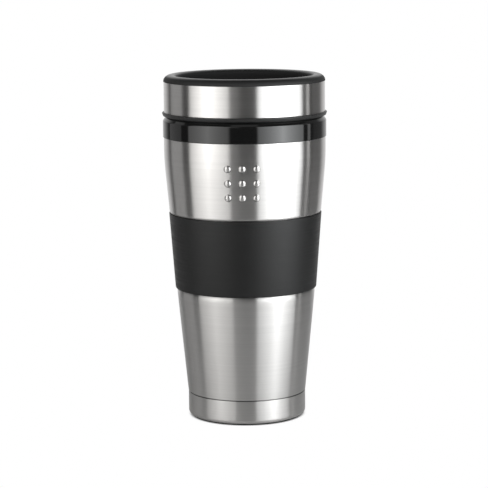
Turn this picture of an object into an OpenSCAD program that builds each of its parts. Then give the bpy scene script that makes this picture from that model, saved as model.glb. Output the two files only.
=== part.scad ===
// Insulated travel mug: steel shell, plastic liner, rubber grip and a push-in lid with a sliding closure.
// The origin is on the table under the centre of the base, +Z is up and -Y is the front. Millimetres.

/* [Base] */
// Outer radius of the pressed steel base cap
base_r = 30.4; // [27:0.1:34]
// Height of the base cap from its lower edge to the seam
base_h = 12; // [9:0.5:18]
// Radius of the rolled lower edge of the base cap
base_edge_r = 2; // [1.5:0.1:3.4]
// Width of the steel ring around the foot pad
base_ring_w = 4; // [4:0.1:8]
// Thickness of the rubber foot pad
pad_t = 1.6; // [1.2:0.1:3]
// How far the foot pad stands below the steel
pad_proud = 0.6; // [0.4:0.1:1]

/* [Shell] */
// Thickness of the steel sheet
sheet_t = 0.6; // [0.4:0.05:0.8]
// Outer radius of the shell's straight top
shell_r = 41.5; // [38:0.1:46]
// Height of the shell from the base seam to the collar
shell_h = 132.6; // [122:0.1:160]
// Drop from the shell's top to the corner that the shoulder rounds off
knee_drop = 11.2; // [9:0.1:14]
// Radius of the long bend between the straight top and the taper
knee_bend_r = 150; // [60:5:180]
// Taper of the wall above the grip, in degrees from the axis
upper_taper = 5.2; // [3:0.1:7]
// Taper of the wall below the grip, in degrees from the axis
lower_taper = 5.55; // [3:0.05:7]
// Step from the base cap out to the shell at the seam
seam_step = 0.1; // [0:0.05:0.4]
// Rounding of the two edges at the base seam
seam_edge_r = 0.2; // [0.1:0.05:0.3]
// Height of the groove left open at the base seam
seam_groove_h = 0.4; // [0.1:0.05:0.8]
// Width of the shoulder behind that groove, which rests on the base cap
seam_seat_w = 0.15; // [0.1:0.05:0.25]
// Length of the neck that goes down into the base cap
neck_l = 5; // [3:0.5:7]

/* [Dots] */
// Diameter of one raised dot
dot_d = 3.7; // [2.4:0.1:5]
// Height of one raised dot
dot_h = 0.7; // [0.4:0.05:1.1]
// Distance between neighbouring dots
dot_pitch = 7.3; // [6:0.1:8]
// Dots in each row and rows in the grid
dot_count = 3; // [1:1:3]
// Drop from the shell's top to the middle of the grid
dot_drop = 19.7; // [18:0.05:22]

/* [Grip] */
// Height of the rubber grip
grip_h = 38.9; // [30:0.1:45]
// Height of the grip's lower edge above the base seam
grip_rise = 54.6; // [40:0.1:60]
// Depth of the shell's shoulder that the grip is pushed against
grip_step = 0.8; // [0.4:0.05:1.2]
// Radius of the bend where the shell rolls into that shoulder
grip_bend_r = 2; // [1:0.1:4]
// How far the grip's upper edge stands proud of the steel above it
grip_proud_top = 0.3; // [0.1:0.05:1]
// How far the grip's lower edge stands proud of the steel below it
grip_proud_low = 0.65; // [0.4:0.05:1.5]
// Rounding of the grip's upper outer edge
grip_edge_top = 0.2; // [0.1:0.05:0.6]
// Rounding of the grip's lower outer edge
grip_edge_low = 0.6; // [0.1:0.05:0.6]
// Radius of the soft roll that the shell makes under the grip's lower edge
roll_r = 14; // [6:0.5:20]
// Upward tilt of that roll at the grip's lower edge, in degrees
roll_tilt = 8; // [2:0.5:10]

/* [Liner] */
// Height of the liner's gloss collar
collar_h = 9.7; // [6:0.1:14]
// How far the collar stands proud of the shell
collar_proud = 0.4; // [0.2:0.05:0.8]
// Rounding of the collar's upper outer edge
collar_edge_r = 1.6; // [0.3:0.05:1.65]
// Height of the raised land that carries the lid
land_h = 0.8; // [0.4:0.1:1.5]
// Width of that land
land_w = 1.9; // [1:0.1:2.4]
// Wall of the liner
liner_t = 1.8; // [1.2:0.1:2.4]
// Wall of the liner's neck around the mouth
mouth_t = 2.3; // [2:0.1:3]
// Length of the liner's neck inside the shell
liner_neck_l = 7.5; // [6:0.1:10]
// Least air gap between the liner and the shell
air_gap = 1.8; // [1:0.1:4]
// Air gap between the liner's floor and the base cap
floor_gap = 11.8; // [8:0.1:20]
// Thickness of the liner's floor
liner_floor_t = 2.4; // [1.5:0.1:4]
// Rounding inside the bottom of the liner
liner_floor_r = 6; // [2:0.5:10]
// Width of the groove for the liner's sealing ring
seal_groove_w = 2; // [1.8:0.1:2.6]
// Depth of that groove
seal_groove_d = 1.3; // [1:0.05:1.4]

/* [Lid] */
// How far the lid's flange stands out past the collar
flange_over = 0.3; // [0:0.05:1]
// Thickness of the lid's flange
flange_h = 2.3; // [1.8:0.1:4]
// Rounding of the flange's upper edge
flange_edge_r = 0.5; // [0.2:0.05:0.9]
// How far the flange's side draws in towards its lower edge
flange_draw = 0.6; // [0.1:0.05:1]
// Height of the lid's steel band
band_h = 15.7; // [10:0.1:20]
// How far the steel band is set back from the collar
band_inset = 0.63; // [0.3:0.01:1]
// How far the rim stands proud of the steel band
rim_proud = 0.13; // [0:0.01:0.5]
// Height of the rounded rim above the steel band
rim_h = 3.3; // [2.5:0.1:5]
// Depth of the recess from the rim's crest to its floor
recess_depth = 15.5; // [12:0.1:17]
// Wall of the lid's mouldings
lid_t = 1.8; // [1.4:0.1:2.2]
// Thickness of the recess floor
lid_floor_t = 2; // [1.5:0.1:3]
// Length of the plug below the seat
plug_l = 13.3; // [11:0.1:16]
// Wall of the plug
plug_t = 2.2; // [1.9:0.1:2.8]
// Gap between the plug and the mouth
plug_gap = 0.6; // [0.4:0.05:1]
// Length of the recess wall's spigot inside the plug, below the flange's top
spigot_l = 5; // [3:0.1:8]
// Height of the gasket and its groove
gasket_h = 4; // [3:0.1:5]
// Depth of the gasket's groove
gasket_groove_d = 1; // [0.6:0.05:1.2]
// Drop from the seat to the gasket's upper edge
gasket_drop = 5; // [3:0.1:6]
// Gap left between the gasket's lips and the mouth
gasket_gap = 0.15; // [0.1:0.01:0.3]

/* [Slider] */
// Width of the slider between its rails
slider_w = 25; // [22:0.5:27]
// Length of the slider along its travel
slider_l = 28; // [27:0.5:30]
// Travel of the slider from open to closed
slider_travel = 15; // [13.8:0.1:16]
// Thickness of the slider's edges under the rails
slider_edge_t = 1.5; // [1.2:0.1:2]
// Thickness of the slider between the rails
slider_t = 3; // [2.7:0.1:4]
// How far each rail's lip reaches over the slider
rail_lip = 1.6; // [1:0.1:2.4]
// Wall of the rails and of the stop behind the slider
rail_t = 2; // [1.5:0.1:2.5]
// Running gap around the slider
slider_gap = 0.2; // [0.15:0.01:0.3]
// Gap between the closed slider's nose and the recess wall
nose_gap = 0.6; // [0.4:0.05:1]
// Width of the thumb tab
tab_w = 15; // [10:0.5:18]
// Length of the thumb tab along the travel
tab_l = 10; // [8:0.5:12]
// Height of the thumb tab above the slider
tab_h = 4.2; // [3:0.1:5]
// Distance from the slider's back edge to the middle of the thumb tab
tab_back = 9.3; // [7:0.1:11]
// Rounding of the thumb tab's corners
tab_corner_r = 2.5; // [1:0.1:4]
// Ribs on the thumb tab
tab_ribs = 3; // [1:1:4]
// Diameter of one rib
rib_d = 1; // [0.6:0.1:1.4]
// Distance between neighbouring ribs
rib_pitch = 2; // [1.6:0.1:2.4]
// Thickness of the sealing pad under the slider
pad_seal_t = 1.2; // [0.8:0.1:1.4]
// Gap left between the sealing pad and the recess floor
pad_seal_gap = 0.05; // [0.03:0.01:0.12]
// Margin of the sealing pad around the sip hole
pad_seal_margin = 1.6; // [1:0.1:1.8]
// Width of the sip hole
sip_w = 17; // [10:0.5:17.5]
// Length of the sip hole along the slider's travel
sip_l = 8.4; // [6:0.1:8.8]
// Distance from the recess wall to the sip hole
sip_edge = 5; // [4:0.1:5.5]
// Diameter of the vent hole
vent_d = 2.6; // [1.5:0.1:4]
// Distance from the recess wall to the centre of the vent hole
vent_edge = 10; // [5:0.1:12]

/* [Clearances] */
// Gap between pieces that are pressed or bonded together
press_gap = 0.05; // [0.02:0.01:0.1]
// Gap between the liner's neck and the shell
neck_gap = 0.3; // [0.1:0.05:0.5]
// Gap around the foot pad
pad_gap = 0.2; // [0.1:0.05:0.4]

/* [Hidden] */
$fn = 96;

// Heights, from the table up
seam_z = pad_proud + base_h;
grip_low_z = seam_z + grip_rise;
grip_top_z = grip_low_z + grip_h;
shell_top_z = seam_z + shell_h;
collar_top_z = shell_top_z + collar_h;
seat_z = collar_top_z + land_h;
flange_top_z = seat_z + flange_h;
band_top_z = flange_top_z + band_h;
crest_z = band_top_z + rim_h;

// Radii of the shell
neck_r = base_r - sheet_t - press_gap;
shell_low_r = base_r + seam_step;
knee_z = shell_top_z - knee_drop;
knee_run = knee_bend_r * tan(upper_taper / 2);
above_grip_r = shell_r - (knee_z - grip_top_z) * tan(upper_taper);
below_grip_r = shell_low_r + grip_rise * tan(lower_taper);
bend_end = acos(cos(upper_taper) - grip_step / grip_bend_r);
bend_centre_z = grip_top_z + grip_bend_r * sin(bend_end);
bend_z = bend_centre_z - grip_bend_r * sin(upper_taper);
bend_centre_r = shell_r - (knee_z - bend_z) * tan(upper_taper) - grip_bend_r * cos(upper_taper);
grip_seat_r = bend_centre_r + grip_bend_r * cos(bend_end);
roll_z = grip_low_z - roll_r * sin(roll_tilt);
roll_low_z = roll_z - roll_r * sin(lower_taper);
roll_centre_r = shell_low_r + (roll_low_z - seam_z) * tan(lower_taper) - roll_r * cos(lower_taper);
roll_end = 2 * roll_tilt;
roll_top_r = roll_centre_r + roll_r * cos(roll_end);
roll_top_z = roll_z + roll_r * sin(roll_end);

// Radii of the collar, the mouth and the lid
collar_r = shell_r + collar_proud;
liner_neck_r = shell_r - sheet_t - neck_gap;
mouth_r = liner_neck_r - mouth_t;
liner_neck_z = shell_top_z - liner_neck_l;
flange_r = collar_r + flange_over;
band_r = collar_r - band_inset;
rim_r = band_r + rim_proud;
band_back_r = band_r - sheet_t - press_gap;
plug_r = mouth_r - plug_gap;
plug_bore_r = plug_r - plug_t;
spigot_r = plug_bore_r - press_gap;
recess_r = spigot_r - lid_t;
rim_crest_r = (rim_r + recess_r) / 2;
recess_z = crest_z - recess_depth;
plug_z = seat_z - plug_l;

// Liner: the straight cone that keeps the air gap at the neck, at both edges of the grip and at the seam
liner_cone_r = shell_r - sheet_t - air_gap;
liner_cone_z = liner_neck_z - (liner_neck_r - liner_cone_r);
liner_z = pad_t + sheet_t + floor_gap;
liner_taper = max(
    (liner_cone_r - (grip_seat_r - sheet_t - air_gap)) / (liner_cone_z - grip_top_z),
    (liner_cone_r - (roll_top_r - sheet_t - air_gap)) / (liner_cone_z - roll_top_z),
    (liner_cone_r - (shell_low_r - sheet_t - air_gap)) / (liner_cone_z - seam_z)
);

// Slider, in its closed place
slider_front_r = recess_r - nose_gap;
slider_back_y = slider_front_r - slider_l;
slider_z = recess_z + slider_gap;
rail_x = slider_w / 2 + slider_gap;
rail_low_z = slider_z + slider_edge_t + slider_gap;
rail_top_z = slider_z + slider_t;
stop_y = slider_back_y - slider_travel - slider_gap;
sip_y = recess_r - sip_edge - sip_l / 2;
tab_y = slider_back_y + tab_back;

// Overlap that makes cuts and joins clean
eps = 0.1;

// Points of an arc about c, from angle a0 to a1
function arc(c, r, a0, a1, n = 8) =
    [for (i = [0:n]) c + r * [cos(a0 + (a1 - a0) * i / n), sin(a0 + (a1 - a0) * i / n)]];

// Points over the top of a half oval about c, from its right end to its left end
function oval_top(c, rx, rz, n = 24) = [for (i = [0:n]) c + [rx * cos(180 * i / n), rz * sin(180 * i / n)]];

// Points moved inward by t, for the inside of a sheet
function inward(points, t) = [for (p = points) p - [t, 0]];

function reversed(points) = [for (i = [len(points) - 1:-1:0]) points[i]];

// Outer radius and outward tilt of the shell at height z, above the grip
function wall_r(z) =
    z > knee_z + knee_run ? shell_r
    : z < knee_z - knee_run * cos(upper_taper) ? shell_r - (knee_z - z) * tan(upper_taper)
    : shell_r - knee_bend_r + sqrt(knee_bend_r ^ 2 - (knee_z + knee_run - z) ^ 2);
function wall_tilt(z) =
    z > knee_z + knee_run ? 0
    : z < knee_z - knee_run * cos(upper_taper) ? upper_taper
    : asin((knee_z + knee_run - z) / knee_bend_r);

module turned(points) {
    rotate_extrude() polygon(points);
}

// Ring of radius r_out and r_in between two heights
module ring(r_in, r_out, z0, z1) {
    turned([[r_in, z0], [r_out, z0], [r_out, z1], [r_in, z1]]);
}

// Flat plate with round corners, w by l, centred
module round_plate(w, l, r, h) {
    linear_extrude(h) {
        square([w - 2 * r, l], center = true);
        square([w, l - 2 * r], center = true);
        for (x = [-1, 1], y = [-1, 1]) translate([x * (w / 2 - r), y * (l / 2 - r)]) circle(r);
    }
}

// Moves its children to each raised dot, with +Z along the wall's outward normal
module at_dots() {
    turn = dot_pitch / wall_r(shell_top_z - dot_drop) * 180 / PI;
    middle = (dot_count - 1) / 2;
    for (row = [0:dot_count - 1], col = [0:dot_count - 1]) {
        z = shell_top_z - dot_drop + (row - middle) * dot_pitch;
        rotate([0, 0, (col - middle) * turn - 90])
            translate([wall_r(z), 0, z])
                rotate([0, 90 + wall_tilt(z), 0])
                    children();
    }
}

module outer_shell() {
    dot_ball_r = ((dot_d / 2) ^ 2 + dot_h ^ 2) / (2 * dot_h);
    lip_z = seam_z + seam_groove_h;
    seat_r = neck_r + press_gap + seam_seat_w;
    side = concat(
        [[shell_r, shell_top_z]],
        arc([shell_r - knee_bend_r, knee_z + knee_run], knee_bend_r, 0, -upper_taper),
        arc([bend_centre_r, bend_centre_z], grip_bend_r, -upper_taper, -bend_end),
        arc([roll_centre_r, roll_z], roll_r, roll_end, -lower_taper)
    );
    lip = concat(
        arc([shell_low_r - seam_edge_r, lip_z + seam_edge_r], seam_edge_r, 0, -90, 4),
        [[seat_r, lip_z], [seat_r, seam_z]]
    );
    neck = [
        [neck_r, seam_z],
        [neck_r, seam_z - neck_l],
        [neck_r - sheet_t, seam_z - neck_l],
        [neck_r - sheet_t, lip_z + sheet_t],
        [shell_low_r - sheet_t, lip_z + 2 * sheet_t]
    ];
    color("silver") difference() {
        union() {
            turned(concat(side, lip, neck, reversed(inward(side, sheet_t))));
            at_dots() intersection() {
                translate([0, 0, dot_h - dot_ball_r]) sphere(dot_ball_r);
                translate([0, 0, -sheet_t / 2]) cylinder(r = dot_ball_r, h = sheet_t / 2 + 2 * dot_h);
            }
        }
        at_dots() translate([0, 0, dot_h - dot_ball_r]) sphere(dot_ball_r - sheet_t);
    }
}

module grip_band() {
    top_r = above_grip_r + grip_proud_top;
    low_r = below_grip_r + grip_proud_low;
    edge_low = min(grip_edge_low, grip_proud_low - 2 * press_gap);
    color("#262626") turned(concat(
        [[grip_seat_r + press_gap, grip_top_z]],
        arc([roll_centre_r, roll_z], roll_r + press_gap, roll_end, roll_tilt, 4),
        arc([low_r - edge_low, grip_low_z + edge_low], edge_low, -90, 0),
        arc([top_r - grip_edge_top, grip_top_z - grip_edge_top], grip_edge_top, 0, 90)
    ));
}

module inner_liner() {
    floor_z = liner_z + liner_floor_t;
    function cone_r(z) = liner_cone_r - (liner_cone_z - z) * liner_taper;
    land_r = min(mouth_r + land_w, collar_r - collar_edge_r);
    groove_z = (shell_top_z + liner_neck_z) / 2;
    lean = atan(liner_taper);
    inner_r = liner_floor_r - liner_t;
    head = concat(
        [[mouth_r, seat_z], [land_r, seat_z], [land_r, collar_top_z]],
        arc([collar_r - collar_edge_r, collar_top_z - collar_edge_r], collar_edge_r, 90, 0),
        arc([collar_r - collar_proud, shell_top_z + collar_proud], collar_proud, 0, -90, 4)
    );
    neck = [
        [liner_neck_r, shell_top_z],
        [liner_neck_r, groove_z + seal_groove_w / 2],
        [liner_neck_r - seal_groove_d, groove_z + seal_groove_w / 2],
        [liner_neck_r - seal_groove_d, groove_z - seal_groove_w / 2],
        [liner_neck_r, groove_z - seal_groove_w / 2],
        [liner_neck_r, liner_neck_z],
        [liner_cone_r, liner_cone_z]
    ];
    cup = concat(
        arc(
            [cone_r(liner_z + liner_floor_r) - liner_floor_r / cos(lean), liner_z + liner_floor_r],
            liner_floor_r, -lean, -90
        ),
        [[0, liner_z], [0, floor_z]],
        arc(
            [cone_r(floor_z + inner_r) - liner_t - inner_r / cos(lean), floor_z + inner_r],
            inner_r, -90, -lean
        )
    );
    color("#141414") turned(concat(
        head, neck, cup, [[liner_cone_r - liner_t, liner_cone_z], [mouth_r, plug_z - plug_gap]]
    ));
}

module liner_seal() {
    groove_r = liner_neck_r - seal_groove_d;
    wire_r = (seal_groove_d + neck_gap) / 2 - press_gap;
    color("#303030") rotate_extrude()
        translate([groove_r + wire_r + press_gap, (shell_top_z + liner_neck_z) / 2]) circle(wire_r);
}

module base_cap() {
    recess = base_r - base_ring_w;
    bend = min(base_edge_r, base_ring_w - sheet_t);
    wall = base_r - sheet_t;
    color("silver") turned(concat(
        [[0, pad_t], [recess, pad_t], [recess, pad_proud]],
        arc([base_r - bend, pad_proud + bend], bend, -90, 0),
        arc([base_r - seam_edge_r, seam_z - seam_edge_r], seam_edge_r, 0, 90, 4),
        [[wall, seam_z]],
        arc([base_r - bend, pad_proud + bend], bend - sheet_t, 0, -90),
        [[recess + sheet_t, pad_proud + sheet_t], [recess + sheet_t, pad_t + sheet_t], [0, pad_t + sheet_t]]
    ));
}

module base_pad() {
    edge = pad_proud / 2;
    r = base_r - base_ring_w - pad_gap;
    side = arc([r - edge, edge], edge, -90, 0, 4);
    color("#202020") turned(concat([[0, 0]], side, [[r, pad_t], [0, pad_t]]));
}

// Two rails with lips over the slider's edges, joined behind it by a stop
module slider_rails() {
    low_z = recess_z - eps;
    back_y = stop_y - rail_t;
    for (side = [0, 1]) mirror([side, 0, 0]) {
        translate([rail_x, back_y, low_z]) cube([rail_t, 2 * recess_r, rail_top_z - low_z]);
        translate([rail_x - rail_lip, back_y, rail_low_z])
            cube([rail_lip + eps, 2 * recess_r, rail_top_z - rail_low_z]);
    }
    translate([-rail_x - eps, back_y, low_z]) cube([2 * (rail_x + eps), rail_t, rail_top_z - low_z]);
}

// Hollow rim, recess wall and floor in one moulding, with the rails, the sip hole and the vent
module lid_top() {
    hollow_r = band_back_r - lid_t;
    section = concat(
        [[band_back_r, flange_top_z], [band_back_r, band_top_z]],
        oval_top([rim_crest_r, band_top_z], rim_r - rim_crest_r, rim_h),
        [
            [recess_r, recess_z], [0, recess_z], [0, recess_z - lid_floor_t],
            [recess_r, recess_z - lid_floor_t], [recess_r, flange_top_z - spigot_l],
            [spigot_r, flange_top_z - spigot_l]
        ],
        reversed(oval_top([(spigot_r + hollow_r) / 2, band_top_z], (hollow_r - spigot_r) / 2, rim_h - lid_t)),
        [[hollow_r, flange_top_z]]
    );
    color("#2a2a2a") difference() {
        union() {
            turned(section);
            intersection() {
                translate([0, 0, recess_z - eps]) cylinder(r = recess_r + eps, h = recess_depth);
                slider_rails();
            }
        }
        translate([0, sip_y, recess_z - lid_floor_t - eps])
            round_plate(sip_w, sip_l, sip_l / 2 - eps, lid_floor_t + 2 * eps);
        translate([0, vent_edge - recess_r, recess_z - lid_floor_t - eps])
            cylinder(d = vent_d, h = lid_floor_t + 2 * eps);
    }
}

module lid_band() {
    color("silver") ring(band_r - sheet_t, band_r, flange_top_z, band_top_z);
}

module lid_plug() {
    groove_top_z = seat_z - gasket_drop;
    color("#2a2a2a") turned(concat(
        [
            [plug_bore_r, plug_z], [plug_r, plug_z], [plug_r, groove_top_z - gasket_h],
            [plug_r - gasket_groove_d, groove_top_z - gasket_h], [plug_r - gasket_groove_d, groove_top_z],
            [plug_r, groove_top_z], [plug_r, seat_z], [flange_r - flange_draw, seat_z]
        ],
        arc([flange_r - flange_edge_r, flange_top_z - flange_edge_r], flange_edge_r, 0, 90),
        [[plug_bore_r, flange_top_z]]
    ));
}

module lid_gasket() {
    top_z = seat_z - gasket_drop - press_gap;
    low_z = seat_z - gasket_drop - gasket_h + press_gap;
    back_r = plug_r - gasket_groove_d + press_gap;
    lip_r = mouth_r - gasket_gap;
    step = (top_z - low_z) / 6;
    color("#b8b8b8") turned([
        [back_r, low_z], [plug_r, low_z], [lip_r, low_z + step], [lip_r, low_z + 2 * step],
        [plug_r, low_z + 3 * step], [lip_r, low_z + 4 * step], [lip_r, low_z + 5 * step],
        [plug_r, top_z], [back_r, top_z]
    ]);
}

// Plan of the slider in its closed place: straight sides and a front that follows the recess wall
module slider_plan(w) {
    intersection() {
        circle(slider_front_r);
        translate([-w / 2, slider_back_y]) square([w, slider_l]);
    }
}

// Bell-shaped bar across the slider, with ribs for the thumb
module thumb_tab() {
    function bell(y) = tab_h * cos(180 * y / tab_l) ^ 2;
    bell_points = [for (i = [0:16]) let (y = tab_l * (i / 16 - 0.5)) [y, bell(y)]];
    intersection() {
        rotate([90, 0, 90]) linear_extrude(tab_w, center = true)
            polygon(concat([[-tab_l / 2, -eps]], bell_points, [[tab_l / 2, -eps]]));
        translate([0, 0, -eps]) round_plate(tab_w, tab_l, tab_corner_r, tab_h + 2 * eps);
    }
    for (i = [0:tab_ribs - 1]) {
        y = (i - (tab_ribs - 1) / 2) * rib_pitch;
        translate([0, y, bell(y)]) rotate([0, 90, 0])
            cylinder(d = rib_d, h = tab_w - 2 * tab_corner_r, center = true);
    }
}

module slider() {
    top_w = 2 * (rail_x - rail_lip - slider_gap);
    color("#1c1c1c") translate([0, -slider_travel, 0]) difference() {
        union() {
            translate([0, 0, slider_z]) linear_extrude(slider_edge_t) slider_plan(slider_w);
            translate([0, 0, slider_z]) linear_extrude(slider_t) slider_plan(top_w);
            translate([0, tab_y, slider_z + slider_t]) thumb_tab();
        }
        translate([0, sip_y, slider_z - eps])
            round_plate(
                sip_w + 2 * pad_seal_margin + 2 * press_gap, sip_l + 2 * pad_seal_margin + 2 * press_gap,
                sip_l / 2, pad_seal_t + eps
            );
    }
}

module slider_seal() {
    color("#b8b8b8") translate([0, sip_y - slider_travel, recess_z + pad_seal_gap])
        round_plate(
            sip_w + 2 * pad_seal_margin, sip_l + 2 * pad_seal_margin, sip_l / 2,
            slider_gap - pad_seal_gap + pad_seal_t - press_gap
        );
}

outer_shell();
grip_band();
inner_liner();
liner_seal();
base_cap();
base_pad();
lid_top();
lid_band();
lid_plug();
lid_gasket();
slider();
slider_seal();
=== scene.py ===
import math

import bmesh
import bpy
from mathutils import Matrix, Vector


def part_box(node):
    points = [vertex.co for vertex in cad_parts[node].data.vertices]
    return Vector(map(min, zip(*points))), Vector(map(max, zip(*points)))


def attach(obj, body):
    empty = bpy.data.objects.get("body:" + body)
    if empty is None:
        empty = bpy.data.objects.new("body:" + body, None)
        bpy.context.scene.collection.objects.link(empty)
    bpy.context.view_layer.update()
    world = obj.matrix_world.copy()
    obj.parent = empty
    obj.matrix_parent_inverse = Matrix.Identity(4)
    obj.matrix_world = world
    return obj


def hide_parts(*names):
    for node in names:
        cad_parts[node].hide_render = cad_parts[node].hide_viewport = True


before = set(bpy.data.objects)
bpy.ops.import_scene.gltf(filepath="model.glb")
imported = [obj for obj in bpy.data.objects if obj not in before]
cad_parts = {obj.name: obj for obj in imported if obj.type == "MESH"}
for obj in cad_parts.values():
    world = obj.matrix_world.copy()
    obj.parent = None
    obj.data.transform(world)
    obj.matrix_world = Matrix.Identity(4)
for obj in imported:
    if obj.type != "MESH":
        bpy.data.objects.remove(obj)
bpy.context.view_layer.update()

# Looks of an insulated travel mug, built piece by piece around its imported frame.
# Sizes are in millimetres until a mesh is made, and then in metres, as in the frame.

MM = 0.001


def reach(node):
    """Lowest height, highest height and outer radius of a turned CAD node, in millimetres."""
    lo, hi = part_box(node)
    return lo.z / MM, hi.z / MM, hi.x / MM


# Heights and radii that the frame gives
FOOT_Z, SEAM_Z, BASE_R = reach("base_cap")
PAD_LOW_Z, PAD_TOP_Z, PAD_R = reach("base_pad")
NECK_LOW_Z, SHELL_TOP_Z, SHELL_R = reach("outer_shell")
GRIP_LOW_Z, GRIP_TOP_Z, GRIP_TOP_R = reach("grip_band")
LINER_LOW_Z, SEAT_Z, COLLAR_R = reach("inner_liner")
PLUG_LOW_Z, FLANGE_TOP_Z, FLANGE_R = reach("lid_plug")
BAND_LOW_Z, BAND_TOP_Z, BAND_R = reach("lid_band")
SPIGOT_LOW_Z, CREST_Z, RIM_R = reach("lid_top")
GASKET_LOW_Z, GASKET_TOP_Z, GASKET_R = reach("lid_gasket")

# Sheet steel: shell, base cap and lid band
SHEET = 0.6
PRESS_GAP = 0.05
KNEE_DROP = 11.2
KNEE_BEND = 150.0
UPPER_TAPER = 5.2
LOWER_TAPER = 5.55
SEAM_STEP = 0.1
SEAM_EDGE = 0.2
SEAM_GROOVE = 0.4
SEAM_SEAT = 0.15
BASE_EDGE = 2.0
BASE_RING = 4.0

# Raised dots on the front of the shell
DOT_RADIUS = 1.7
DOT_HEIGHT = 0.7
DOT_POWER = 3.0
DOT_EDGE = 0.12
DOT_SHADE = 0.62
# Colour of the painted shade that outlines each dot's foot
DOT_RIM_PAINTED_SHADE = 0.25
DOT_BLUR = 0.09
DOT_PITCH = 7.3
DOT_COUNT = 3
DOT_DROP = 19.7

# Grip
GRIP_STEP = 0.8
GRIP_BEND = 2.0
GRIP_PROUD_LOW = 0.65
GRIP_EDGE_TOP = 0.2
GRIP_EDGE_LOW = 0.55
ROLL_R = 14.0
ROLL_TILT = 8.0
# Height of the painted shadow on the steel under the grip's lower edge
GRIP_SHADOW = 1.4

# Liner and its collar. The taper is the radius that the cup loses with each millimetre of depth.
COLLAR_EDGE = 1.2
COLLAR_BEVEL = 35.0
COLLAR_DROP = 2.36
COLLAR_PROUD = 0.4
LINER_NECK_R = 40.6
LINER_NECK_L = 7.5
LINER_CONE_R = 39.1
LINER_WALL = 1.8
LINER_FLOOR = 2.4
LINER_FLOOR_ROUND = 6.0
LINER_TAPER = 0.107
MOUTH_WALL = 2.3
MOUTH_R = LINER_NECK_R - MOUTH_WALL
SEAL_GROOVE_W = 2.0
SEAL_GROOVE_D = 1.3

# Lid
FLANGE_EDGE = 0.5
FLANGE_DRAW = 0.4
FLANGE_LIFT = 0.5
FLANGE_CHAMFER = 0.2
BAND_EDGE = 0.15
LID_WALL = 1.8
LID_FLOOR = 2.0
PLUG_GAP = 0.6
PLUG_WALL = 2.2
PLUG_CHAMFER = 0.4
GASKET_GROOVE_D = 1.0
RECESS_DEPTH = 15.5
RECESS_ROUND = 1.2
RIM_H = CREST_Z - BAND_TOP_Z
PLUG_R = MOUTH_R - PLUG_GAP
PLUG_BORE_R = PLUG_R - PLUG_WALL
SPIGOT_R = PLUG_BORE_R - PRESS_GAP
RECESS_R = SPIGOT_R - LID_WALL
RECESS_Z = CREST_Z - RECESS_DEPTH
GASKET_GROOVE_R = PLUG_R - GASKET_GROOVE_D
GASKET_GROOVE_LOW = GASKET_LOW_Z - PRESS_GAP
GASKET_GROOVE_TOP = GASKET_TOP_Z + PRESS_GAP

# Slider, open as it is at rest
SLIDER_W = 25.0
SLIDER_L = 28.0
SLIDER_T = 3.0
SLIDER_EDGE_T = 1.5
SLIDER_OVERLAP = 1.0
SLIDER_GAP = 0.2
SLIDER_NOSE_GAP = 0.6
SLIDER_TRAVEL = 15.0
SLIDER_CORNER = 1.0
SLIDER_LOW_EDGE = 0.2
SLIDER_STEP_EDGE = 0.25
SLIDER_TOP_EDGE = 0.5
SLIDER_LOW_Z = RECESS_Z + SLIDER_GAP
SLIDER_EDGE_Z = SLIDER_LOW_Z + SLIDER_EDGE_T
SLIDER_TOP_Z = SLIDER_LOW_Z + SLIDER_T
SLIDER_FRONT_R = RECESS_R - SLIDER_NOSE_GAP
SLIDER_BACK_Y = SLIDER_FRONT_R - SLIDER_L - SLIDER_TRAVEL

# Rails that hold the slider down, and the bar behind it
RAIL_T = 2.0
RAIL_LIP = 1.6
RAIL_EDGE = 0.25
RAIL_SINK = 0.1
RAIL_FRONT_Y = 31.8
STOP_CORNER = 0.3
RAIL_IN_X = SLIDER_W / 2 + SLIDER_GAP
RAIL_OUT_X = RAIL_IN_X + RAIL_T
RAIL_LIP_X = RAIL_IN_X - RAIL_LIP
RAIL_LIP_Z = SLIDER_EDGE_Z + SLIDER_GAP
STOP_Y = SLIDER_BACK_Y - SLIDER_GAP
RAIL_BACK_Y = STOP_Y - RAIL_T
SLIDER_TOP_W = 2 * (RAIL_LIP_X - SLIDER_GAP)

# Thumb tab and its ribs
TAB_W = 15.0
TAB_L = 10.0
TAB_H = 4.2
TAB_Y = -0.617
TAB_SQUARENESS = 8
TAB_NARROWING = 0.2
TAB_SINK = 0.05
TAB_ROOT_L = 7.0
TAB_ROOT_D = 0.3
TAB_SLICES = 32
TAB_STEPS = 24
RIB_COUNT = 3
RIB_R = 0.5
RIB_PITCH = 2.0
RIB_TIP = 0.02
RIB_SLICES = 16
RIB_SIDES = 16

# Sip hole, vent and the pad that seals the sip hole
SIP_W = 17.0
SIP_L = 8.4
SIP_ROUND = 4.1
SIP_FLARE = 0.9
SIP_EDGE = 5.0
SIP_Y = RECESS_R - SIP_EDGE - SIP_L / 2
VENT_R = 1.3
VENT_FLARE = 0.7
VENT_EDGE = 10.0
VENT_Y = VENT_EDGE - RECESS_R
HOLE_ABOVE = 0.5
CUT_BELOW = 1.0
SEAL_MARGIN = 1.6
SEAL_LOW_EDGE = 0.3
SEAL_TOP_EDGE = 0.1
SEAL_POCKET = 1.2

# Grain of the finishes, in waves to the metre along X, Y and Z
BRUSH_LINES = (9, 9, 2600)
BRUSH_BANDS = (3, 3, 500)
HAND_HAZE = (30, 30, 18)
GLOSS_RIPPLE = (140, 140, 140)
GLOSS_SPECKLE = (1800, 1800, 1800)
MOULD_CLOUDS = (60, 60, 60)
MOULD_STREAKS = (40, 40, 1100)
SILICONE_CLOUDS = (300, 300, 300)

# Shades and roughness of the finishes
STEEL_DARK = 0.51
STEEL_LIGHT = 0.55
STEEL_WARMTH = 0.02
STEEL_ROUGHNESS = 0.25
# Colour of the painted shade in the seam's groove and just under the grip's lower edge
PAINTED_SHADE = 0.08
CUP_ROUGHNESS = 0.36
COLLAR_ROUGHNESS = 0.07

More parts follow.
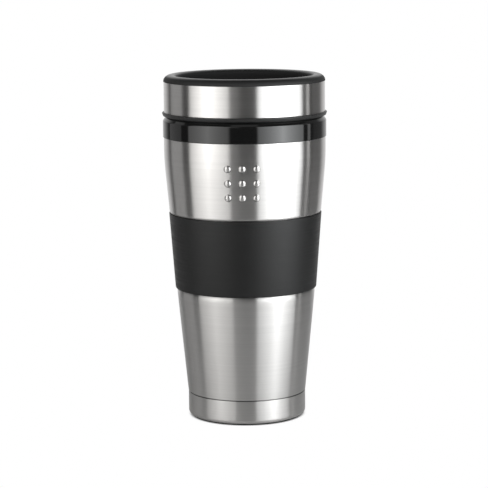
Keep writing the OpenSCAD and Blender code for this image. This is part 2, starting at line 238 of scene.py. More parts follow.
# Meshes: segments around a turned piece, rows of points up the shell, and the sharpest soft edge in degrees
SEGMENTS = 256
HIDDEN_SEGMENTS = 192
SHELL_SEGMENTS = 360
SHELL_FRONT = (0.5, 34.0)
DOT_ROWS = 0.25
TOP_ROWS = 2.0
PLAIN_ROWS = 12.0
CREASE = 40.0
SHELL_CREASE = 60.0
MERGE = 1e-6

# How far inside an edge a row of points keeps the flat beside it flat under smooth shading
FLAT_RING = 0.03


# Nodes

class Wire:
    """A socket of a node tree: sums on values are plain expressions, which add their Math nodes."""

    def __init__(self, tree, socket=None):
        self.tree = tree
        self.socket = socket

    def make(self, kind, settings=None, sockets=None, out=0):
        """Adds a node, sets its settings and then its sockets to values or links, and gives one output."""
        node = self.tree.nodes.new(kind)
        for name, value in (settings or {}).items():
            setattr(node, name, value)
        for key, value in (sockets or {}).items():
            if isinstance(value, Wire):
                self.tree.links.new(value.socket, node.inputs[key])
            else:
                node.inputs[key].default_value = value
        return Wire(self.tree, node.outputs[out] if len(node.outputs) else None)

    def math(self, operation, *others):
        """A Math node on this value and any others."""
        return self.make("ShaderNodeMath", {"operation": operation}, dict(enumerate((self, *others))))

    def math_from(self, first, operation):
        """A Math node on a plain number and then this value."""
        return self.make("ShaderNodeMath", {"operation": operation}, {0: first, 1: self})

    def __add__(self, other):
        return self.math("ADD", other)

    def __sub__(self, other):
        return self.math("SUBTRACT", other)

    def __rsub__(self, other):
        return self.math_from(other, "SUBTRACT")

    def __mul__(self, other):
        return self.math("MULTIPLY", other)

    def __truediv__(self, other):
        return self.math("DIVIDE", other)

    def __mod__(self, other):
        return self.math("MODULO", other)

    def __pow__(self, other):
        return self.math("POWER", other)

    def __rpow__(self, other):
        return self.math_from(other, "POWER")

    def __abs__(self):
        return self.math("ABSOLUTE")

    __radd__ = __add__
    __rmul__ = __mul__

    def mixed(self, at_zero, at_one):
        """A colour between two, by this value."""
        return self.make("ShaderNodeMix", {"data_type": "RGBA"}, {0: self, 6: at_zero, 7: at_one}, 2)

    def eased(self, start, end):
        """This value eased from 0 at start to 1 at end."""
        sockets = {"Value": self, "From Min": start, "From Max": end}
        return self.make("ShaderNodeMapRange", {"interpolation_type": "SMOOTHSTEP"}, sockets)

    def parts(self):
        """The three parts of a vector."""
        split = self.make("ShaderNodeSeparateXYZ", None, {0: self}).socket.node
        return [Wire(self.tree, socket) for socket in split.outputs]


def grey(value, warmth=0.0):
    """A grey with a little red added and blue taken away."""
    return (value * (1 + warmth), value, value * (1 - warmth), 1.0)


def off_axis(x, y):
    """Distance from the mug's axis."""
    return (x * x + y * y) ** 0.5


# Materials

def new_finish(name):
    """An empty material, and the start of its node tree."""
    material = bpy.data.materials.new(f"{name}_finish")
    material.use_nodes = True
    material.node_tree.nodes.clear()
    return material, Wire(material.node_tree)


def close_finish(start, sockets):
    """Ends a finish in one shader."""
    shader = start.make("ShaderNodeBsdfPrincipled", None, sockets)
    start.make("ShaderNodeOutputMaterial", None, {"Surface": shader})


def grain(start, scale, detail=2.0, roughness=0.5):
    """Noise on the piece's own coordinates. The scale is in waves to the metre along X, Y and Z."""
    place = start.make("ShaderNodeTexCoord", out="Object")
    stretched = start.make("ShaderNodeMapping", None, {"Vector": place, "Scale": scale})
    sockets = {"Vector": stretched, "Scale": 1.0, "Detail": detail, "Roughness": roughness}
    return start.make("ShaderNodeTexNoise", None, sockets)


def bumped(start, height, strength, distance):
    """Relief from a height. The distance is in metres."""
    sockets = {"Height": height, "Strength": strength, "Distance": distance}
    return start.make("ShaderNodeBump", None, sockets)


def brushed_steel():
    """Stainless sheet brushed around its axis: long fine lines, broader bands and a little haze.

    The dots are paler and less polished, with a dark outline of painted shade at their foot, and painted
    shade darkens the seam's groove and the steel just under the grip's lower edge."""
    material, start = new_finish("brushed_steel")
    fine = grain(start, BRUSH_LINES, 1.0)
    bands = grain(start, BRUSH_BANDS)
    haze = grain(start, HAND_HAZE)
    lines = fine * 0.5 + bands * 0.5
    near_dot = start.make("ShaderNodeAttribute", {"attribute_name": "dot_nearness"}, out="Fac")
    on_dot = near_dot.eased(0.95, 1.1)
    # Painted shade: a dark ring around the foot of each dot
    rim = near_dot.eased(0.86, 0.94) * (1 - near_dot.eased(1.04, 1.14))
    sheet = lines.eased(0.3, 0.7).mixed(grey(STEEL_DARK, STEEL_WARMTH), grey(STEEL_LIGHT, STEEL_WARMTH))
    dotted = on_dot.mixed(sheet, grey(DOT_SHADE, STEEL_WARMTH))
    with_painted_outline = rim.mixed(dotted, grey(DOT_RIM_PAINTED_SHADE, STEEL_WARMTH))
    _, _, height = start.make("ShaderNodeTexCoord", out="Object").parts()
    # Painted shade: a dark line along the seam's groove
    off_seam = height - (SEAM_Z + SEAM_GROOVE / 2) * MM
    painted_seam_shade = 1 - abs(off_seam).eased(SEAM_GROOVE / 2 * MM, SEAM_GROOVE * MM)
    # Painted shadow: the steel darkens just under the grip's lower edge
    painted_grip_shadow = height.eased((GRIP_LOW_Z - GRIP_SHADOW) * MM, GRIP_LOW_Z * MM)
    painted_grip_shadow = painted_grip_shadow * (1 - height.eased((GRIP_LOW_Z + 1) * MM, (GRIP_LOW_Z + 2) * MM))
    close_finish(start, {
        "Base Color": (painted_seam_shade * 0.8 + painted_grip_shadow * 0.5).mixed(with_painted_outline, grey(PAINTED_SHADE, STEEL_WARMTH)),
        "Metallic": 1.0,
        "Roughness": STEEL_ROUGHNESS + lines * 0.04 + haze * 0.03 + on_dot * DOT_BLUR,
        "Anisotropic": 1.0,
        "Anisotropic Rotation": 0.25,
        "Normal": bumped(start, fine, 0.04, 0.00003),
    })
    return material


def gloss_black():
    """Polished black moulding on the collar, satin inside the cup where the drink goes."""
    material, start = new_finish("gloss_black")
    x, y, _ = start.make("ShaderNodeTexCoord", out="Object").parts()
    polished = off_axis(x, y).eased((MOUTH_R - 0.2) * MM, (MOUTH_R + 1) * MM)
    ripple = grain(start, GLOSS_RIPPLE, 1.0)
    speckle = grain(start, GLOSS_SPECKLE)
    close_finish(start, {
        "Base Color": speckle.mixed(grey(0.002), grey(0.005)),
        "IOR": 1.53,
        "Roughness": CUP_ROUGHNESS - polished * (CUP_ROUGHNESS - COLLAR_ROUGHNESS) + speckle * 0.02,
        "Normal": bumped(start, ripple * 0.6 + speckle * (1 - polished) * 0.4, 0.05, 0.0003),
    })
    return material


def moulded_black(name, shade, roughness, shine, pore_scale, pore_depth, streaks=0.0, polish=0.0):
    """A black moulding with fine even pores and faint cloudy patches.

    It can have streaks around it, or be smoother on the crest of the lid's rim and duller in the recess."""
    material, start = new_finish(name)
    pores = grain(start, (pore_scale,) * 3, 2.0, 0.6)
    clouds = grain(start, MOULD_CLOUDS, 3.0)
    relief = pores
    dullness = roughness + (pores - 0.5) * 0.06 + (clouds - 0.5) * 0.04
    if streaks:
        lines = grain(start, MOULD_STREAKS) * streaks
        relief = relief + lines
        dullness = dullness + lines
    if polish:
        x, y, z = start.make("ShaderNodeTexCoord", out="Object").parts()
        crest = z.eased((CREST_Z - 1.2) * MM, (CREST_Z - 0.2) * MM)
        recess = 1 - off_axis(x, y).eased(RECESS_R * MM, (RECESS_R + 1.5) * MM)
        dullness = dullness - (crest - recess) * polish
    close_finish(start, {
        "Base Color": (pores * 0.5 + clouds * 0.5).mixed(grey(shade * 0.75), grey(shade * 1.25)),
        "Roughness": dullness,
        "Specular IOR Level": shine,
        "Normal": bumped(start, relief, 0.25, pore_depth),
    })
    return material


def silicone():
    """Pale grey seal with a soft skin."""
    material, start = new_finish("silicone")
    clouds = grain(start, SILICONE_CLOUDS, 3.0)
    close_finish(start, {
        "Base Color": clouds.mixed(grey(0.46, 0.01), grey(0.60, 0.01)),
        "Roughness": 0.38 + clouds * 0.12,
        "Subsurface Weight": 0.15,
        "Subsurface Radius": (0.002, 0.002, 0.002),
        "Normal": bumped(start, clouds, 0.08, 0.0002),
    })
    return material


STEEL = brushed_steel()
GLOSS = gloss_black()
SATIN = moulded_black(
    "satin_black", shade=0.006, roughness=0.42, shine=0.5, pore_scale=2600, pore_depth=0.00003
)
RIM = moulded_black(
    "rim_black", shade=0.005, roughness=0.62, shine=0.36, pore_scale=2600, pore_depth=0.00003,
    polish=0.32,
)
GRIP = moulded_black(
    "grip_rubber", shade=0.003, roughness=0.33, shine=0.36, pore_scale=1300, pore_depth=0.00012,
    streaks=0.25,
)
RUBBER = moulded_black(
    "seal_rubber", shade=0.020, roughness=0.72, shine=0.5, pore_scale=1200, pore_depth=0.00006
)
SILICONE = silicone()


# Outlines, as lists of (radius, height)

def arc(centre, radius, first, last, steps=8):
    """Points of an arc about a centre, between two angles in degrees."""
    angles = [math.radians(first + (last - first) * i / steps) for i in range(steps + 1)]
    return [(centre[0] + radius * math.cos(a), centre[1] + radius * math.sin(a)) for a in angles]


def run(start, end, step):
    """Points along a straight stretch, no further apart than step, without its end."""
    count = max(1, math.ceil(math.dist(start, end) / step))
    return [tuple(s + (e - s) * i / count for s, e in zip(start, end)) for i in range(count)]


def half_oval(centre_r, half_w, base_z, height, steps):
    """Points over the top of a half oval, from its outer end to its inner end."""
    angles = [math.pi * i / steps for i in range(steps + 1)]
    return [(centre_r + half_w * math.cos(a), base_z + height * math.sin(a)) for a in angles]


# Geometry trees

def new_tree(name, inputs):
    """A geometry tree with a geometry input, the named inputs and a material, and its wires."""
    tree = bpy.data.node_groups.new(name, "GeometryNodeTree")
    tree.interface.new_socket("Geometry", in_out="OUTPUT", socket_type="NodeSocketGeometry")
    kinds = {"Geometry": "NodeSocketGeometry", **inputs, "Material": "NodeSocketMaterial"}
    for label, kind in kinds.items():
        tree.interface.new_socket(label, in_out="INPUT", socket_type=kind)
    start = Wire(tree)
    given = start.make("NodeGroupInput").socket.node
    return tree, start, {label: Wire(tree, given.outputs[label]) for label in kinds}


def close_tree(start, geometry, material):
    """Ends a tree in real geometry with its material."""
    real = start.make("GeometryNodeRealizeInstances", None, {"Geometry": geometry})
    dressed = start.make("GeometryNodeSetMaterial", None, {"Geometry": real, "Material": material})
    start.make("NodeGroupOutput", None, {"Geometry": dressed})


def turning_tree():
    """Turns an outline about Z. A share of the segments can be kept for an angle at the front."""
    tree, start, given = new_tree("turn_outline", {
        "Segments": "NodeSocketInt", "Front Share": "NodeSocketFloat", "Front Angle": "NodeSocketFloat",
        "Crease": "NodeSocketFloat",
    })
    outline, segments = given["Geometry"], given["Segments"]
    count = start.make("GeometryNodeAttributeDomainSize", None, {"Geometry": outline}, "Point Count")
    grid = start.make("GeometryNodeMeshGrid", None, {"Vertices X": segments + 1, "Vertices Y": count})
    index = start.make("GeometryNodeInputIndex")
    along = index % count
    around = (index / count).math("FLOOR")
    sampled = start.make(
        "GeometryNodeSampleIndex", {"data_type": "FLOAT_VECTOR"},
        {"Geometry": outline, "Value": start.make("GeometryNodeInputPosition"), "Index": along},
    )
    radius, _, height = sampled.parts()
    off_front = around / segments - 0.5
    away = abs(off_front)
    front_share, front_angle = given["Front Share"], given["Front Angle"]
    near = away.math("MINIMUM", front_share / 2)
    front = near * front_angle / front_share
    back = (away - near) * (math.tau - front_angle) / (1 - front_share)
    angle = (front + back) * off_front.math("SIGN") - math.pi / 2
    place = start.make("ShaderNodeCombineXYZ", None, {
        0: radius * angle.math("COSINE"), 1: radius * angle.math("SINE"), 2: height,
    })
    turned_grid = start.make("GeometryNodeSetPosition", None, {"Geometry": grid, "Position": place})
    closed = start.make("GeometryNodeMergeByDistance", None, {"Geometry": turned_grid, "Distance": MERGE})
    smooth = start.make("GeometryNodeSetShadeSmooth", {"domain": "FACE"}, {0: closed})
    fold = start.make("GeometryNodeInputMeshEdgeAngle")
    soft = start.make("FunctionNodeCompare", {"operation": "LESS_THAN"}, {0: fold, 1: given["Crease"]})
    shaded = start.make("GeometryNodeSetShadeSmooth", {"domain": "EDGE"}, {0: smooth, 2: soft})
    close_tree(start, shaded, given["Material"])
    return tree


def dot_tree():
    """Raises a square grid of round dots on the front of a turned wall.

    It keeps how near each point is to a dot: 2 at a dot's middle, 1 at its rim and 0 far away."""
    tree, start, given = new_tree("raise_dots", {
        "Count": "NodeSocketFloat", "Pitch": "NodeSocketFloat", "Radius": "NodeSocketFloat",
        "Height": "NodeSocketFloat", "Edge": "NodeSocketFloat", "Middle": "NodeSocketFloat",
        "Wall": "NodeSocketFloat",
    })
    x, y, z = start.make("GeometryNodeInputPosition").parts()
    limit = (given["Count"] - 1) / 2

    def from_nearest(distance):
        """Distance from the nearest dot of a row, from the distance to the row's middle."""
        number = (distance / given["Pitch"]).math("ROUND")
        number = number.math("MAXIMUM", limit * -1).math("MINIMUM", limit)
        return distance - number * given["Pitch"]

    across = from_nearest(x.math("ARCTAN2", y * -1) * given["Wall"])
    up = from_nearest(z - given["Middle"])
    off = (across * across + up * up) ** 0.5 / given["Radius"]
    dome = 1 - off ** DOT_POWER
    rise = dome.math("SMOOTH_MAX", 0.0, given["Edge"]) * given["Height"]
    wall = off_axis(x, y)
    offset = start.make("ShaderNodeCombineXYZ", None, {0: x / wall * rise, 1: y / wall * rise})
    raised = start.make(
        "GeometryNodeSetPosition", None, {"Geometry": given["Geometry"], "Offset": offset}
    )
    nearness = (2 - off).math("MAXIMUM", 0.0)
    marked = start.make(
        "GeometryNodeStoreNamedAttribute", {"data_type": "FLOAT"},
        {"Geometry": raised, "Name": "dot_nearness", "Value": nearness},
    )
    close_tree(start, marked, given["Material"])
    return tree


def rib_tree():
    """Repeats one rib along Y over a bell-shaped bar."""
    tree, start, given = new_tree("repeat_ribs", {
        "Count": "NodeSocketInt", "Pitch": "NodeSocketFloat", "Middle": "NodeSocketFloat",
        "Bell": "NodeSocketFloat", "Length": "NodeSocketFloat", "Base": "NodeSocketFloat",
    })
    first = (given["Count"] - 1) * given["Pitch"] * -0.5
    shift = start.make("GeometryNodeInputIndex") * given["Pitch"] + first
    bend = shift / given["Length"] * math.pi
    bell = bend.math("COSINE") ** 2 * given["Bell"] + given["Base"]
    place = start.make("ShaderNodeCombineXYZ", None, {1: shift + given["Middle"], 2: bell})
    line = start.make("GeometryNodeMeshLine", None, {"Count": given["Count"]})
    spots = start.make("GeometryNodeSetPosition", None, {"Geometry": line, "Position": place})
    ribs = start.make(
        "GeometryNodeInstanceOnPoints", None, {"Points": spots, "Instance": given["Geometry"]}
    )
    close_tree(start, ribs, given["Material"])
    return tree


def grow(piece, tree, values):
    """Runs a geometry tree on a piece and keeps the result as its plain mesh."""
    modifier = piece.modifiers.new(tree.name, "NODES")
    modifier.node_group = tree
    for item in tree.interface.items_tree:
        if item.name in values:
            modifier[item.identifier] = values[item.name]
    depsgraph = bpy.context.evaluated_depsgraph_get()
    mesh = bpy.data.meshes.new_from_object(piece.evaluated_get(depsgraph), depsgraph=depsgraph)
    piece.modifiers.remove(modifier)
    if not mesh.materials[0]:
        mesh.materials.pop(index=0)
    piece.data = mesh
    return piece


TURNING = turning_tree()
DOTS = dot_tree()
RIBS = rib_tree()


# Meshes

def new_piece(name, points, edges=(), faces=()):
    """A mesh object from points in millimetres."""
    mesh = bpy.data.meshes.new(name)
    mesh.from_pydata([Vector(p) * MM for p in points], edges, faces)
    piece = bpy.data.objects.new(name, mesh)
    bpy.context.scene.collection.objects.link(piece)
    return piece


def face_outwards(piece):
    """Turns the faces outwards, and drops the bare edge that a turned outline leaves on the axis."""
    shape = bmesh.new()
    shape.from_mesh(piece.data)
    bare = [edge for edge in shape.edges if not edge.link_faces]
    bmesh.ops.delete(shape, geom=bare, context="EDGES")
    bmesh.ops.recalc_face_normals(shape, faces=shape.faces)
    shape.to_mesh(piece.data)
    shape.free()


def held(outline):
    """A closed outline with a point just inside each end of a long side that meets a far shorter one.

    The point keeps the long side straight under smooth shading."""
    sides = list(zip(outline, outline[1:] + outline[:1]))
    lengths = [math.dist(start, end) for start, end in sides]
    points = []
    for i, (start, end) in enumerate(sides):
        points.append(start)
        before, length, after = lengths[i - 1], lengths[i], lengths[(i + 1) % len(sides)]
        for neighbour, share in ((before, 0), (after, 1)):
            if length > 3 * max(neighbour, FLAT_RING):
                share = abs(share - FLAT_RING / length)
                points.append(tuple(s + (e - s) * share for s, e in zip(start, end)))
    return points


def turned(name, outline, material, segments=SEGMENTS, front=(0.5, 180.0), crease=CREASE):
    """A turned piece from its closed outline.

    Front is a share of the segments, and the angle at the front that they fill."""
    rows = held(outline)
    points = [(r, 0.0, z) for r, z in rows + rows[:1]]
    edges = [(i, i + 1) for i in range(len(points) - 1)]
    piece = new_piece(name, points, edges)
    grow(piece, TURNING, {
        "Segments": segments, "Front Share": front[0], "Front Angle": math.radians(front[1]),
        "Crease": math.radians(crease), "Material": material,
    })
    face_outwards(piece)
    return piece


def lofted(name, rings, material):
    """A closed piece through rings of points, with flat ends."""
    count = len(rings[0])
    points = [p for ring in rings for p in ring]
    faces = [list(range(count)), list(range(len(points) - count, len(points)))]
    for r in range(len(rings) - 1):
        for i in range(count):
            j = (i + 1) % count
            faces.append([r * count + i, r * count + j, (r + 1) * count + j, (r + 1) * count + i])
    piece = new_piece(name, points, (), faces)
    piece.data.materials.append(material)
    face_outwards(piece)
    piece.data.set_sharp_from_angle(angle=math.radians(CREASE))
    return piece


def round_plate(width, length, corner_r, middle_y, steps=8):
    """Plan of a plate with round corners, as a function of how far it is drawn in."""
    reach_x = width / 2 - corner_r
    reach_y = length / 2 - corner_r

    def plan(inset):
        points = []
        for quarter, (side_x, side_y) in enumerate([(1, 1), (-1, 1), (-1, -1), (1, -1)]):
            centre = (side_x * reach_x, middle_y + side_y * reach_y)
            points += arc(centre, corner_r - inset, 90 * quarter, 90 * quarter + 90, steps)
        return points

    return plan


def rounded(edge, steps):
    """Inset and rise of each step of a rounded edge, from its wall to its flat."""
    if not edge:
        return [(0.0, 0.0)]
    angles = [math.pi / 2 * i / steps for i in range(steps + 1)]
    return [(edge * (1 - math.cos(a)), abs(edge) * math.sin(a)) for a in angles]


def slab(name, plan, low_z, top_z, material, low_edge=0.0, top_edge=0.0, steps=5):
    """A flat piece between two heights with rounded edges. A negative edge flares outwards."""
    levels = [(low_edge + FLAT_RING, low_z)]
    levels += [(inset, low_z + abs(low_edge) - rise) for inset, rise in reversed(rounded(low_edge, steps))]
    levels += [(inset, top_z - abs(top_edge) + rise) for inset, rise in rounded(top_edge, steps)]
    levels.append((top_edge + FLAT_RING, top_z))
    return lofted(name, [[(x, y, z) for x, y in plan(inset)] for inset, z in levels], material)


def combined(operation, piece, *others):
    """Joins other pieces to a piece, or takes their shapes out of it."""
    for other in others:
        modifier = piece.modifiers.new(operation, "BOOLEAN")
        modifier.operation = operation
        modifier.solver = "EXACT"
        modifier.object = other
        depsgraph = bpy.context.evaluated_depsgraph_get()
        mesh = bpy.data.meshes.new_from_object(piece.evaluated_get(depsgraph), depsgraph=depsgraph)
        piece.modifiers.remove(modifier)
        piece.data = mesh
        bpy.data.objects.remove(other)
    piece.data.set_sharp_from_angle(angle=math.radians(CREASE))
    return piece


# Mug

def shoulder_bend():
    """Centre of the bend that rolls in over the grip, and the angle where it ends, in degrees."""
    taper = math.radians(UPPER_TAPER)
    end = math.acos(math.cos(taper) - GRIP_STEP / GRIP_BEND)
    centre_z = GRIP_TOP_Z + GRIP_BEND * math.sin(end)
    start_z = centre_z - GRIP_BEND * math.sin(taper)
    wall_r = SHELL_R - (SHELL_TOP_Z - KNEE_DROP - start_z) * math.tan(taper)
    return (wall_r - GRIP_BEND * math.cos(taper), centre_z), math.degrees(end)


def roll_centre():
    """Centre of the soft roll under the grip's lower edge."""
    lean = math.radians(LOWER_TAPER)
    z = GRIP_LOW_Z - ROLL_R * math.sin(math.radians(ROLL_TILT))
    wall_r = BASE_R + SEAM_STEP + (z - ROLL_R * math.sin(lean) - SEAM_Z) * math.tan(lean)
    return wall_r - ROLL_R * math.cos(lean), z


def outer_shell():
    """Tapered steel sheet: a rolled shoulder over the grip, a soft roll under it, a neck and the dots."""
    taper = math.radians(UPPER_TAPER)
    knee_z = SHELL_TOP_Z - KNEE_DROP
    knee_run = KNEE_BEND * math.tan(taper / 2)
    bend, bend_end = shoulder_bend()
    low_r = BASE_R + SEAM_STEP
    lip_z = SEAM_Z + SEAM_GROOVE
    knee = arc((SHELL_R - KNEE_BEND, knee_z + knee_run), KNEE_BEND, 0, -UPPER_TAPER, 64)
    shoulder = arc(bend, GRIP_BEND, -UPPER_TAPER, -bend_end, 10)
    roll = arc(roll_centre(), ROLL_R, 2 * ROLL_TILT, -LOWER_TAPER, 20)
    lip = arc((low_r - SEAM_EDGE, lip_z + SEAM_EDGE), SEAM_EDGE, 0, -90, 5)
    taper_rows = run(knee[-1], shoulder[0], DOT_ROWS)
    outside = run((SHELL_R, SHELL_TOP_Z), knee[0], TOP_ROWS) + knee[:-1] + taper_rows + shoulder[:-1]
    outside += run(shoulder[-1], roll[0], PLAIN_ROWS) + roll[:-1] + run(roll[-1], lip[0], PLAIN_ROWS) + lip
    neck_r = BASE_R - SHEET - PRESS_GAP
    seat_r = neck_r + PRESS_GAP + SEAM_SEAT
    neck = [(seat_r, lip_z), (seat_r, SEAM_Z), (neck_r, SEAM_Z), (neck_r, NECK_LOW_Z)]
    neck += [(neck_r - SHEET, NECK_LOW_Z), (neck_r - SHEET, lip_z + SHEET)]
    back_rows = knee[::8] + taper_rows[::6] + shoulder[::2] + roll[::5]
    inside = [(low_r - SHEET, lip_z + 2 * SHEET)]
    inside += [(r - SHEET, z) for r, z in reversed(back_rows)]
    inside.append((SHELL_R - SHEET, SHELL_TOP_Z))
    rows = outside + neck + inside
    shell = turned("outer_shell", rows, STEEL, SHELL_SEGMENTS, SHELL_FRONT, SHELL_CREASE)
    middle_z = SHELL_TOP_Z - DOT_DROP
    return grow(shell, DOTS, {
        "Count": float(DOT_COUNT), "Pitch": DOT_PITCH * MM, "Radius": DOT_RADIUS * MM,
        "Height": DOT_HEIGHT * MM, "Edge": DOT_EDGE, "Middle": middle_z * MM,
        "Wall": (SHELL_R - (knee_z - middle_z) * math.tan(taper)) * MM, "Material": STEEL,
    })


def grip_band():
    """Rubber sleeve with a tight upper edge and a softer lower one."""
    (bend_r, _), bend_end = shoulder_bend()
    seat_r = bend_r + GRIP_BEND * math.cos(math.radians(bend_end)) + PRESS_GAP
    wall_r = BASE_R + SEAM_STEP + (GRIP_LOW_Z - SEAM_Z) * math.tan(math.radians(LOWER_TAPER))
    low_r = wall_r + GRIP_PROUD_LOW
    outline = [(seat_r, GRIP_TOP_Z)] + arc(roll_centre(), ROLL_R + PRESS_GAP, 2 * ROLL_TILT, ROLL_TILT)
    outline += arc((low_r - GRIP_EDGE_LOW, GRIP_LOW_Z + GRIP_EDGE_LOW), GRIP_EDGE_LOW, -90, 0)
    outline += arc((GRIP_TOP_R - GRIP_EDGE_TOP, GRIP_TOP_Z - GRIP_EDGE_TOP), GRIP_EDGE_TOP, 0, 90)
    return turned("grip_band", outline, GRIP)


def collar_edge():
    """Rounding between the collar's bevel and its face."""
    return arc((COLLAR_R - COLLAR_EDGE, SEAT_Z - COLLAR_DROP), COLLAR_EDGE, COLLAR_BEVEL, 0, 12)


def land_edge():
    """Radius where the bevel meets the flat land that the lid sits on."""
    r, z = collar_edge()[0]
    return r - (SEAT_Z - z) * math.tan(math.radians(COLLAR_BEVEL))


def inner_liner():
    """Cup that holds the drink, with the gloss collar at its head."""
    neck_z = SHELL_TOP_Z - LINER_NECK_L
    cone_z = neck_z - (LINER_NECK_R - LINER_CONE_R)
    groove_z = (SHELL_TOP_Z + neck_z) / 2
    floor_z = LINER_LOW_Z + LINER_FLOOR
    lean = math.atan(LINER_TAPER)
    lean_end = -math.degrees(lean)
    outer_round = LINER_FLOOR_ROUND
    inner_round = LINER_FLOOR_ROUND - LINER_WALL

    def corner(z, radius, wall):
        """Centre of a rounding that touches the cone, a wall's thickness in from its outside."""
        cone_r = LINER_CONE_R - (cone_z - z) * LINER_TAPER
        return cone_r - wall - radius / math.cos(lean), z

    outline = [(MOUTH_R, SEAT_Z), (land_edge(), SEAT_Z)] + collar_edge()
    outline += arc((COLLAR_R - COLLAR_PROUD, SHELL_TOP_Z + COLLAR_PROUD), COLLAR_PROUD, 0, -90)
    outline += [(LINER_NECK_R, SHELL_TOP_Z)]
    for side, depth in [(1, 0), (1, SEAL_GROOVE_D), (-1, SEAL_GROOVE_D), (-1, 0)]:
        outline.append((LINER_NECK_R - depth, groove_z + side * SEAL_GROOVE_W / 2))
    outline += [(LINER_NECK_R, neck_z), (LINER_CONE_R, cone_z)]
    outline += arc(corner(LINER_LOW_Z + outer_round, outer_round, 0), outer_round, lean_end, -90)
    outline += [(0, LINER_LOW_Z), (0, floor_z)]
    outline += arc(corner(floor_z + inner_round, inner_round, LINER_WALL), inner_round, -90, lean_end)
    outline += [(LINER_CONE_R - LINER_WALL, cone_z), (MOUTH_R, PLUG_LOW_Z - PLUG_GAP)]
    return turned("inner_liner", outline, GLOSS)


def base_cap():
    """Pressed steel cup with a rolled foot."""
    ring_r = BASE_R - BASE_RING
    bend = (BASE_R - BASE_EDGE, FOOT_Z + BASE_EDGE)
    outline = [(0, PAD_TOP_Z), (ring_r, PAD_TOP_Z), (ring_r, FOOT_Z)]
    outline += arc(bend, BASE_EDGE, -90, 0, 14)
    outline += arc((BASE_R - SEAM_EDGE, SEAM_Z - SEAM_EDGE), SEAM_EDGE, 0, 90, 4)
    outline += [(BASE_R - SHEET, SEAM_Z)] + arc(bend, BASE_EDGE - SHEET, 0, -90, 8)
    outline += [(ring_r + SHEET, FOOT_Z + SHEET), (ring_r + SHEET, PAD_TOP_Z + SHEET)]
    outline += [(0, PAD_TOP_Z + SHEET)]
    return turned("base_cap", outline, STEEL)


def base_pad():
    """Rubber disc under the base."""
    edge = FOOT_Z / 2
    outline = [(0, PAD_LOW_Z)] + arc((PAD_R - edge, edge), edge, -90, 0, 5)
    outline += [(PAD_R, PAD_TOP_Z), (0, PAD_TOP_Z)]
    return turned("base_pad", outline, RUBBER, HIDDEN_SEGMENTS)


# Lid

def lid_top():
    """Rim, recess and floor in one moulding, with the slider's rails, the sip hole and the vent."""
    crest_r = (RIM_R + RECESS_R) / 2
    back_r = BAND_R - SHEET - PRESS_GAP
    hollow_r = back_r - LID_WALL
    low_z = RECESS_Z - LID_FLOOR
    outline = [(back_r, FLANGE_TOP_Z), (back_r, BAND_TOP_Z)]
    outline += half_oval(crest_r, RIM_R - crest_r, BAND_TOP_Z, RIM_H, 40)
    outline += arc((RECESS_R - RECESS_ROUND, RECESS_Z + RECESS_ROUND), RECESS_ROUND, 0, -90, 6)
    outline += [(0, RECESS_Z), (0, low_z), (RECESS_R, low_z)]
    outline += [(RECESS_R, SPIGOT_LOW_Z), (SPIGOT_R, SPIGOT_LOW_Z)]
    middle_r = (SPIGOT_R + hollow_r) / 2
    outline += half_oval(middle_r, hollow_r - middle_r, BAND_TOP_Z, RIM_H - LID_WALL, 16)[::-1]
    outline += [(hollow_r, FLANGE_TOP_Z)]
    top = turned("lid_top", outline, RIM)
    hole_low = low_z - CUT_BELOW
    hole_top = RECESS_Z + HOLE_ABOVE
    sip_plan = round_plate(SIP_W, SIP_L, SIP_ROUND, SIP_Y)
    vent_plan = round_plate(2 * VENT_R, 2 * VENT_R, VENT_R, VENT_Y)
    sip = slab("sip_tool", sip_plan, hole_low, hole_top, RIM, top_edge=-SIP_FLARE)
    vent = slab("vent_tool", vent_plan, hole_low, hole_top, RIM, top_edge=-VENT_FLARE)
    combined("DIFFERENCE", top, sip, vent)
    return combined("UNION", top, rail(1), rail(-1), rail_stop())


def rail(side):
    """One rail on the recess floor, with a lip over the slider's edge."""
    low_z = RECESS_Z - RAIL_SINK
    top_z = SLIDER_TOP_Z - RAIL_EDGE
    flat = RAIL_EDGE + FLAT_RING
    section = [(RAIL_IN_X, low_z), (RAIL_OUT_X, low_z)]
    section += arc((RAIL_OUT_X - RAIL_EDGE, top_z), RAIL_EDGE, 0, 90, 4)
    section += [(RAIL_OUT_X - flat, SLIDER_TOP_Z), (RAIL_LIP_X + flat, SLIDER_TOP_Z)]
    section += arc((RAIL_LIP_X + RAIL_EDGE, top_z), RAIL_EDGE, 90, 180, 4)
    section += [(RAIL_LIP_X, RAIL_LIP_Z), (RAIL_IN_X, RAIL_LIP_Z)]
    rings = [[(side * x, y, z) for x, z in section] for y in (RAIL_BACK_Y, RAIL_FRONT_Y)]
    return lofted("rail", rings, RIM)


def rail_stop():
    """Bar that joins the rails behind the slider."""
    low_z = RECESS_Z - RAIL_SINK
    top_z = SLIDER_TOP_Z - RAIL_SINK
    middle_y = (RAIL_BACK_Y + STOP_Y) / 2
    plan = round_plate(RAIL_IN_X + RAIL_OUT_X, STOP_Y - RAIL_BACK_Y, STOP_CORNER, middle_y, 3)
    return slab("rail_stop", plan, low_z, top_z, RIM, top_edge=RAIL_EDGE, steps=4)


def lid_band():
    """Steel ring between the rim and the flange."""
    outline = [(BAND_R - SHEET, BAND_LOW_Z)]
    outline += arc((BAND_R - BAND_EDGE, BAND_LOW_Z + BAND_EDGE), BAND_EDGE, -90, 0, 3)
    outline += arc((BAND_R - BAND_EDGE, BAND_TOP_Z - BAND_EDGE), BAND_EDGE, 0, 90, 3)
    outline += [(BAND_R - SHEET, BAND_TOP_Z)]
    return turned("lid_band", outline, STEEL)


